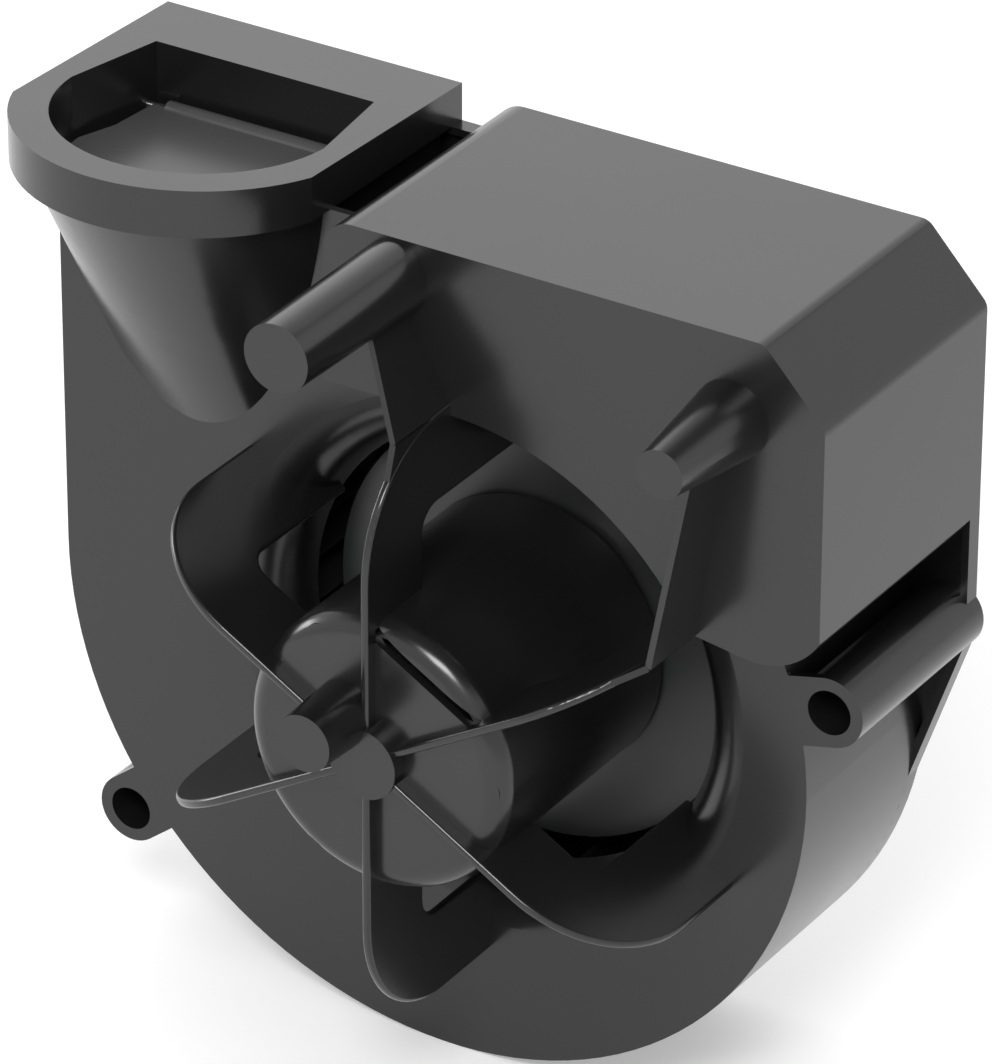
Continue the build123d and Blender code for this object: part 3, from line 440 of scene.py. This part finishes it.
class FANINSERT_OT_rubber(bpy.types.Operator):
    """Motor cushion and bushes"""

    bl_idname = "faninsert.rubber"
    bl_label = "Rubber parts"

    def execute(self, context):
        # Nitrile rubber: matt and nearly black
        nitrile = plain("moulded_nitrile_rubber", linear("#2A2A2B"), roughness=0.75, ior=1.52, spread=0.05,
                        grain_size=0.3 * MM, grain_depth=0.01 * MM)
        dress(nitrile, "motor_cushion", "motor_bushes")
        return {"FINISHED"}


class FANINSERT_OT_screws(bpy.types.Operator):
    """Zinc-plated screws"""

    bl_idname = "faninsert.screws"
    bl_label = "Screws"

    def execute(self, context):
        # Zinc plating: a bluish silver that glints on the rounded heads
        plated = metal("zinc_plated_steel", "#BFC3C6", roughness=0.28, grain_size=0.3 * MM,
                       grain_depth=0.003 * MM)
        dress(plated, "cover_screws", "board_screws", "motor_screws")
        one = cut(threaded_screw(), cross_recess())
        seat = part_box("cover_screws")[1].y - HEAD_HEIGHT
        solid = bmesh.new()
        for i, (x, z) in enumerate(COVER_SCREWS):
            screw = one.copy()
            screw.transform(Matrix.Translation((x * MM, seat, z * MM))
                            @ Matrix.Rotation(math.radians(RECESS_TURNS[i]), 4, "Y"))
            solid.from_mesh(screw)
        mesh = bpy.data.meshes.new("cover_screws_detail")
        solid.to_mesh(mesh)
        solid.free()
        piece = new_piece("cover_screws_detail", mesh, plated, "housing")
        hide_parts("cover_screws")
        return {"FINISHED"}


class FANINSERT_OT_board(bpy.types.Operator):
    """Control board and its components"""

    bl_idname = "faninsert.board"
    bl_label = "Control board"

    def execute(self, context):
        # Solder mask on laminate: green lacquer, glossy and faintly uneven
        laminate = plain("solder_mask_laminate", linear("#1E5A36"), roughness=0.25, ior=1.55, spread=0.1,
                         grain_size=1.0 * MM, grain_depth=0.01 * MM)
        dress(laminate, "control_board")
        # Polyester: a blue case with a sharp sheen
        polyester = plain("polyester_relay_case", linear("#2C3E66"), roughness=0.3, ior=1.57, spread=0.03,
                          grain_size=0.5 * MM, grain_depth=0.004 * MM)
        dress(polyester, "board_relay")
        # Flame-retardant plastic: the capacitor's yellow, evenly satin
        capacitor = plain("flame_retardant_capacitor_case", linear("#C8A94B"), roughness=0.35, ior=1.57,
                          spread=0.03, grain_size=0.5 * MM, grain_depth=0.004 * MM)
        dress(capacitor, "run_capacitor")
        # Glass-filled nylon: green, and dull from the fibres at its skin
        nylon = plain("glass_filled_nylon_terminal", linear("#3E7D55"), roughness=0.45, ior=1.53, spread=0.04,
                      grain_size=0.4 * MM, grain_depth=0.01 * MM)
        dress(nylon, "terminal_block")
        # Ferrite: a grey, gritty ceramic
        ferrite = plain("sintered_ferrite", linear("#3A3A3C"), roughness=0.6, ior=2.0, spread=0.06,
                        grain_size=0.3 * MM, grain_depth=0.015 * MM)
        dress(ferrite, "board_choke")
        return {"FINISHED"}


class FANINSERT_OT_plug(bpy.types.Operator):
    """Mains plug, its contacts and its leads"""

    bl_idname = "faninsert.plug"
    bl_label = "Mains plug"

    def execute(self, context):
        finish = context.scene.fan_finish
        # Glass-filled nylon: off-white, and dull from the fibres at its skin
        nylon = plain("glass_filled_nylon_plug", finish.plug_colour, roughness=0.4, ior=1.53, spread=0.02,
                      grain_size=0.4 * MM, grain_depth=0.006 * MM)
        dress(nylon, "mains_plug")
        # Stamped brass: yellow blades that glint in the plug's recess
        brass = metal("stamped_brass", "#C9A35A", roughness=0.28, grain_size=0.3 * MM,
                      grain_depth=0.003 * MM)
        dress(brass, "plug_contacts")
        # PVC: dark grey insulation with a soft sheen along each lead
        pvc = plain("pvc_lead_insulation", linear("#3C3C40"), roughness=0.35, ior=1.53, spread=0.03,
                    grain_size=0.5 * MM, grain_depth=0.004 * MM)
        dress(pvc, "plug_leads")
        return {"FINISHED"}


def new_piece(name, mesh, material, body):
    """Puts a mesh in the scene as a piece of one material that rides on a body."""
    mesh.materials.clear()
    mesh.materials.append(material)
    piece = bpy.data.objects.new(name, mesh)
    bpy.context.scene.collection.objects.link(piece)
    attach(piece, body)
    return piece


def finished_mesh(name, solid):
    """A mesh from a closed solid, smooth but for its sharp edges."""
    bmesh.ops.recalc_face_normals(solid, faces=solid.faces)
    for face in solid.faces:
        face.smooth = True
    for edge in solid.edges:
        edge.smooth = edge.calc_face_angle(0.0) < SHARP_ANGLE
    mesh = bpy.data.meshes.new(name)
    solid.to_mesh(mesh)
    solid.free()
    return mesh


def loft_rings(solid, rings):
    """Joins closed rings of points into one closed skin."""
    made = [[solid.verts.new(point) for point in ring] for ring in rings]
    count = len(made[0])
    for near, far in zip(made, made[1:]):
        for i in range(count):
            j = (i + 1) % count
            solid.faces.new((near[i], near[j], far[j], far[i]))
    solid.faces.new(list(reversed(made[0])))
    solid.faces.new(made[-1])


def funnel_at(z):
    """The funnel's axis, as x and y, and its outer radius at a height, all in millimetres."""
    share = (FLANGE_LOW_Z - z) / (FLANGE_LOW_Z - FUNNEL_LOW_Z)
    return (OUTLET_X + share * FUNNEL_SHIFT_X, FLANGE_ARC_Y + share * (FUNNEL_LOW_Y - FLANGE_ARC_Y),
            FUNNEL_TOP_RADIUS + share * (FUNNEL_LOW_RADIUS - FUNNEL_TOP_RADIUS))


def funnel_left(y, z, wall):
    """Left side of the funnel at a depth and a height, a wall's thickness in from the outside."""
    x, middle, radius = funnel_at(z)
    return x - math.sqrt(max(0.0, (radius - wall) ** 2 - (y - middle) ** 2))


def mouth_left(y):
    """Left side of the outlet's mouth at a depth."""
    if y < MOUTH_SIDE_Y:
        return OUTLET_X - math.sqrt(MOUTH_RADIUS ** 2 - (FLANGE_ARC_Y - y) ** 2)
    return OUTLET_X - MOUTH_SIDE_HALF_WIDTH + MOUTH_SLOPE * (y - MOUTH_SIDE_Y)


def funnel_side_sections():
    """Rows of (outer, inner) points from under the flange down to where the funnel sinks into the wall."""
    top_bulge = CASING_LEFT_X - OUTLET_X + FUNNEL_TOP_RADIUS
    vanish = top_bulge / (FUNNEL_SHIFT_X + FUNNEL_TOP_RADIUS - FUNNEL_LOW_RADIUS)
    lowest = FLANGE_LOW_Z - FUNNEL_STOP * vanish * (FLANGE_LOW_Z - FUNNEL_LOW_Z)
    step = (lowest - SEAT_LOW_Z) / FUNNEL_LEVELS
    levels = [FLANGE_LOW_Z + GRIP, SEAT_Z + SINK, SEAT_Z - SINK, SEAT_LOW_Z + SINK]
    levels += [SEAT_LOW_Z - SINK + i * step for i in range(FUNNEL_LEVELS + 1)]
    rows = []
    for z in levels:
        x, middle, radius = funnel_at(z)
        reach = math.sqrt(radius ** 2 - (x - CASING_LEFT_X) ** 2)
        front = max(FUNNEL_FRONT_Y, middle - reach)
        row = []
        for i in range(FUNNEL_COLUMNS + 1):
            y = front + i * (middle + reach - front) / FUNNEL_COLUMNS
            if z > SEAT_Z:
                inner = mouth_left(y) - SINK
            elif z > SEAT_LOW_Z:
                inner = CASING_LEFT_X + GRIP
            else:
                inner = funnel_left(y, z, FUNNEL_WALL) - SINK
            row.append(((funnel_left(y, z, 0) + SINK, y, z), (min(inner, CASING_LEFT_X + GRIP), y, z)))
        rows.append(row)
    return rows


class FANINSERT_OT_funnel_side(bpy.types.Operator):
    """Left side of the outlet's funnel, where it stands out of the casing's wall"""

    bl_idname = "faninsert.funnel_side"
    bl_label = "Funnel side"

    def execute(self, context):
        rows = funnel_side_sections()
        solid = bmesh.new()
        outer = [[solid.verts.new(Vector(pair[0]) * MM) for pair in row] for row in rows]
        inner = [[solid.verts.new(Vector(pair[1]) * MM) for pair in row] for row in rows]
        for skin in (outer, inner):
            for high, low in zip(skin, skin[1:]):
                for i in range(FUNNEL_COLUMNS):
                    solid.faces.new((high[i], high[i + 1], low[i + 1], low[i]))
        rims = [(outer[0], inner[0]), (outer[-1], inner[-1]),
                ([row[0] for row in outer], [row[0] for row in inner]),
                ([row[-1] for row in outer], [row[-1] for row in inner])]
        for near, far in rims:
            for i in range(len(near) - 1):
                solid.faces.new((near[i], near[i + 1], far[i + 1], far[i]))
        piece = new_piece("funnel_side", finished_mesh("funnel_side", solid),
                          bpy.data.materials["moulded_abs_anthracite"], "housing")
        return {"FINISHED"}


def lathe(solid, profile, sides):
    """Turns a profile of (radius, distance along Y) about the Y axis into a closed skin."""
    rings = []
    for radius, along in profile:
        rings.append([Vector((radius * math.cos(i * math.tau / sides), along,
                              radius * math.sin(i * math.tau / sides))) for i in range(sides)])
    loft_rings(solid, rings)


def threaded_screw():
    """A pan-head screw along -Y from its seat at the origin, with its thread as rings."""
    profile = [(SCREW_POINT_RADIUS, -SCREW_LENGTH)]
    for i in range(THREAD_TURNS):
        along = -SCREW_LENGTH + (i + 0.5) * THREAD_PITCH
        profile += [(SCREW_CORE, along - THREAD_FLANK), (SCREW_RADIUS, along)]
        profile += [(SCREW_CORE, along + THREAD_FLANK)]
    profile += [(SCREW_CORE, 0.0), (HEAD_RADIUS, 0.0)]
    for i in range(HEAD_STEPS + 1):
        turn = HEAD_START + HEAD_SWEEP * i / HEAD_STEPS
        profile.append((HEAD_RADIUS - HEAD_ROUND * (1 - math.cos(turn - HEAD_START)),
                        HEAD_HEIGHT - HEAD_ROUND * (1 - math.sin(turn))))
    profile.append((SCREW_POINT_RADIUS, HEAD_HEIGHT))
    solid = bmesh.new()
    lathe(solid, profile, SCREW_SIDES)
    return finished_mesh("screw", solid)


def cross_recess():
    """The tapered cross that a screwdriver fits, standing out of the head's top."""
    solid = bmesh.new()
    for turn in (0, 90):
        rings = []
        floor_end = (HEAD_HEIGHT - RECESS_DEPTH, RECESS_END_REACH, RECESS_END_WIDTH)
        open_end = (HEAD_HEIGHT + RECESS_CLEAR, RECESS_REACH, RECESS_WIDTH)
        for along, length, width in (floor_end, open_end):
            corners = [(length, width), (-length, width), (-length, -width), (length, -width)]
            turned = Matrix.Rotation(math.radians(turn), 3, "Y")
            rings.append([turned @ Vector((x, along, z)) for x, z in corners])
        loft_rings(solid, rings)
    return finished_mesh("recess", solid)


def cut(mesh, cutter):
    """The first mesh with the second taken away from it."""
    body = bpy.data.objects.new("cut_body", mesh)
    tool = bpy.data.objects.new("cut_tool", cutter)
    for made in (body, tool):
        bpy.context.scene.collection.objects.link(made)
    change = body.modifiers.new("cut", "BOOLEAN")
    change.operation = "DIFFERENCE"
    change.solver = "EXACT"
    change.use_self = True
    change.object = tool
    graph = bpy.context.evaluated_depsgraph_get()
    result = bpy.data.meshes.new_from_object(body.evaluated_get(graph))
    for made in (body, tool):
        bpy.data.objects.remove(made)
    return result


def softbox(name, place, target, width, height, power):
    """A rectangular lamp aimed at a point."""
    data = bpy.data.lights.new(name, "AREA")
    data.shape = "RECTANGLE"
    data.size = width
    data.size_y = height
    data.energy = power
    lamp = bpy.data.objects.new(name, data)
    lamp.location = place
    lamp.rotation_mode = "QUATERNION"
    lamp.rotation_quaternion = (Vector(target) - Vector(place)).to_track_quat("-Z", "Y")
    bpy.context.scene.collection.objects.link(lamp)


def seen_rays(tree, rays):
    """One for a ray from the camera, a reflection or a clear piece, and zero for a ray that only lights."""
    seen = rays.outputs["Is Camera Ray"]
    for kind in ("Is Glossy Ray", "Is Transmission Ray"):
        either = add_node(tree, "ShaderNodeMath", {0: seen, 1: rays.outputs[kind]}, operation="MAXIMUM")
        seen = either.outputs[0]
    return seen


def pale_floor(studio):
    """A wide disc under the insert, painted matt, that looks whiter than it lights."""
    turns = [i * math.tau / FLOOR_SIDES for i in range(FLOOR_SIDES)]
    rim = [(FLOOR_RADIUS * math.cos(turn), FLOOR_RADIUS * math.sin(turn), cad_box[0].z) for turn in turns]
    mesh = bpy.data.meshes.new("floor")
    mesh.from_pydata(rim, [], [tuple(range(FLOOR_SIDES))])
    floor = bpy.data.objects.new("floor", mesh)
    bpy.context.scene.collection.objects.link(floor)
    material, tree, place = new_material("matt_paint_floor")
    shade = varied(tree, place, studio.floor_colour, FLOOR_SHADE_DRIFT, FLOOR_SHADE_WIDTH)
    # Matt wall paint: hardly any shine, so that only the insert's soft shadow shows on it
    paint = add_node(tree, "ShaderNodeBsdfPrincipled", {"Base Color": shade, "Roughness": 0.9,
                                                        "Specular IOR Level": 0.2})
    rays = add_node(tree, "ShaderNodeLightPath")
    glow = add_node(tree, "ShaderNodeMath", {0: seen_rays(tree, rays), 1: studio.floor_glow},
                    operation="MULTIPLY")
    white = add_node(tree, "ShaderNodeEmission", {"Strength": glow.outputs[0]})
    both = add_node(tree, "ShaderNodeAddShader", {0: paint.outputs[0], 1: white.outputs[0]})
    mesh.materials.append(close_material(material, both))


def white_surround(studio):
    """World light that lights softly, shows white walls all round, and a dark ceiling in reflections."""
    world = bpy.data.worlds.new("studio")
    world.use_nodes = True
    tree = world.node_tree
    tree.nodes.clear()
    rays = add_node(tree, "ShaderNodeLightPath")
    direction = add_node(tree, "ShaderNodeTexCoord")
    height = add_node(tree, "ShaderNodeSeparateXYZ", {"Vector": direction.outputs["Generated"]})
    walls = add_node(tree, "ShaderNodeMapRange", {"Value": height.outputs["Z"],
                                                  "From Min": CEILING_START, "From Max": CEILING_FULL,
                                                  "To Min": 1.0, "To Max": studio.ceiling_level})
    level = add_node(tree, "ShaderNodeMapRange", {"Value": seen_rays(tree, rays),
                                                  "To Min": studio.sky_strength,
                                                  "To Max": walls.outputs["Result"]})
    sky = add_node(tree, "ShaderNodeBackground", {"Color": (1.0, 1.0, 1.0, 1.0),
                                                  "Strength": level.outputs["Result"]})
    add_node(tree, "ShaderNodeOutputWorld", {"Surface": sky.outputs["Background"]})
    bpy.context.scene.world = world


def place_camera(studio):
    """The camera at the viewing angle, turned about its target."""
    data = bpy.data.cameras.new("camera")
    data.sensor_width = FILM_WIDTH_MM
    data.lens = studio.lens
    data.clip_start = CLIP_START
    data.clip_end = CLIP_END
    camera = bpy.data.objects.new("camera", data)
    back = Vector((math.sin(studio.azimuth) * math.cos(studio.elevation),
                   -math.cos(studio.azimuth) * math.cos(studio.elevation), math.sin(studio.elevation)))
    camera.location = Vector(studio.target) + back * studio.distance
    camera.rotation_mode = "QUATERNION"
    camera.rotation_quaternion = (-back).to_track_quat("-Z", "Y") @ Quaternion((0, 0, 1), studio.roll)
    bpy.context.scene.collection.objects.link(camera)
    bpy.context.scene.camera = camera


class FANINSERT_OT_stage(bpy.types.Operator):
    """Floor, surround, lamps and camera"""

    bl_idname = "faninsert.stage"
    bl_label = "Studio"

    def execute(self, context):
        studio = context.scene.fan_studio
        target = Vector(studio.target)
        pale_floor(studio)
        white_surround(studio)
        for name, place, width, height, power in SOFTBOXES:
            softbox(name, target + Vector(place), target, width, height, getattr(studio, power))
        place_camera(studio)
        context.scene.view_settings.view_transform = "Standard"
        return {"FINISHED"}


OPERATORS = (
    FANINSERT_OT_casing,
    FANINSERT_OT_funnel_side,
    FANINSERT_OT_flap,
    FANINSERT_OT_impeller,
    FANINSERT_OT_motor,
    FANINSERT_OT_shaft,
    FANINSERT_OT_rubber,
    FANINSERT_OT_screws,
    FANINSERT_OT_board,
    FANINSERT_OT_plug,
    FANINSERT_OT_stage,
)


class FANINSERT_PT_panel(bpy.types.Panel):
    """Lists the operators and the settings of the fan insert"""

    bl_idname = "FANINSERT_PT_panel"
    bl_label = "Fan Insert"
    bl_space_type = "VIEW_3D"
    bl_region_type = "UI"
    bl_category = "Fan Insert"

    def draw(self, context):
        for operator in OPERATORS:
            self.layout.operator(operator.bl_idname)
        for settings in (context.scene.fan_finish, context.scene.fan_studio):
            box = self.layout.box()
            for name in settings.bl_rna.properties.keys():
                if name not in ("rna_type", "name"):
                    box.prop(settings, name)


CLASSES = (FinishSettings, StudioSettings, *OPERATORS, FANINSERT_PT_panel)


def register():
    for cls in CLASSES:
        bpy.utils.register_class(cls)
    bpy.types.Scene.fan_finish = bpy.props.PointerProperty(type=FinishSettings)
    bpy.types.Scene.fan_studio = bpy.props.PointerProperty(type=StudioSettings)


def unregister():
    del bpy.types.Scene.fan_studio
    del bpy.types.Scene.fan_finish
    for cls in reversed(CLASSES):
        bpy.utils.unregister_class(cls)


def main():
    """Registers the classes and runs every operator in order."""
    register()
    for operator in OPERATORS:
        group, name = operator.bl_idname.split(".")
        getattr(getattr(bpy.ops, group), name)()


if __name__ == "__main__":
    main()
